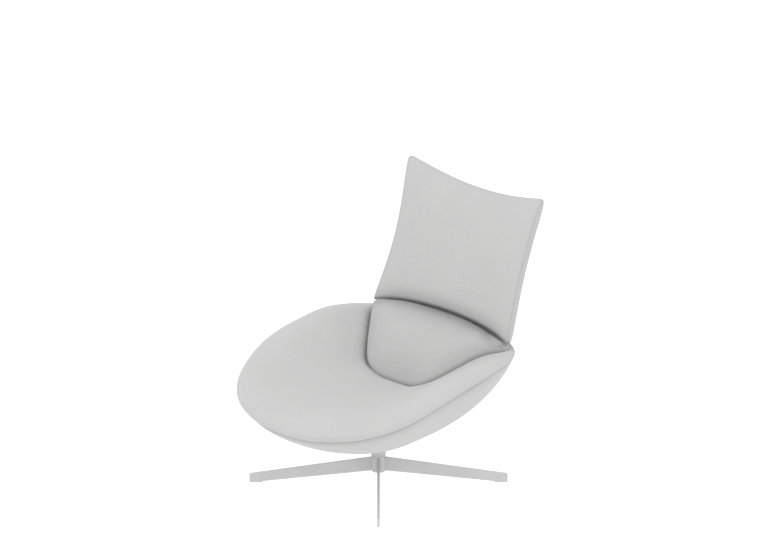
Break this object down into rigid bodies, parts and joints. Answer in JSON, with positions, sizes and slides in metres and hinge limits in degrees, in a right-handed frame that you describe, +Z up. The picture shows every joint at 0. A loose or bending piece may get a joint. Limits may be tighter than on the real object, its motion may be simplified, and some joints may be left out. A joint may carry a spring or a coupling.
{
  "type": "swivel lounge chair",
  "caption": "Armless swivel lounge chair: upholstered bowl seat with a loose lumbar pad and a separate reclining curved back panel on a blade-legged star base.",
  "frame": {"origin": "on the floor, on the swivel axis", "axes": "+Z up along the swivel axis; -Y is the front, the way a sitter faces; +X is the sitter's left"},
  "size_m": [0.8204, 0.9248, 0.9298],
  "materials": {
    "painted_steel": "fine satin powder coat, light grey",
    "glide_plastic": "moulded matte",
    "bush_plastic": "moulded, slightly waxy",
    "steel": "zinc plated, satin",
    "cast_alloy": "cast and blasted",
    "shell_plastic": "moulded, fine grain",
    "plywood": "bare moulded beech plywood",
    "upholstery": "fine plain-weave wool, light grey",
    "upholstery_pad": "fine plain-weave wool, a shade deeper"
  },
  "bodies": {
    "base": {"base_hub": "painted_steel", "leg_front_left": "painted_steel", "leg_front_right": "painted_steel", "leg_rear_left": "painted_steel", "leg_rear_right": "painted_steel", "foot_glides": "glide_plastic", "lower_bush": "bush_plastic", "upper_bush": "bush_plastic", "thrust_washer": "bush_plastic", "hub_end_cap": "glide_plastic"},
    "seat": {"spindle": "steel", "circlip": "steel", "retaining_washer": "steel", "column_sleeve": "painted_steel", "seat_plate": "steel", "plate_screws": "steel", "tee_nuts": "steel", "seat_shell": "shell_plastic", "outer_cover": "upholstery", "seat_cushion": "upholstery", "lumbar_cushion": "upholstery_pad", "hinge_bracket_left": "cast_alloy", "hinge_bracket_right": "cast_alloy", "bracket_screws": "steel", "hinge_pins": "steel", "pin_nuts": "steel", "friction_washers": "bush_plastic"},
    "backrest": {"hinge_arm_left": "painted_steel", "hinge_arm_right": "painted_steel", "arm_screws": "steel", "back_board": "plywood", "back_pad_front": "upholstery", "back_pad_rear": "upholstery"}
  },
  "joints": [
    {"name": "swivel", "type": "hinge", "parent": "base", "child": "seat", "pos_m": [0, 0, 0.09], "axis": [0, 0, 1], "continuous": true},
    {"name": "back_recline", "type": "hinge", "parent": "seat", "child": "backrest", "pos_m": [0, 0.35368, 0.45522], "axis": [-1, 0, 0], "range_deg": [0, 18]}
  ]
}
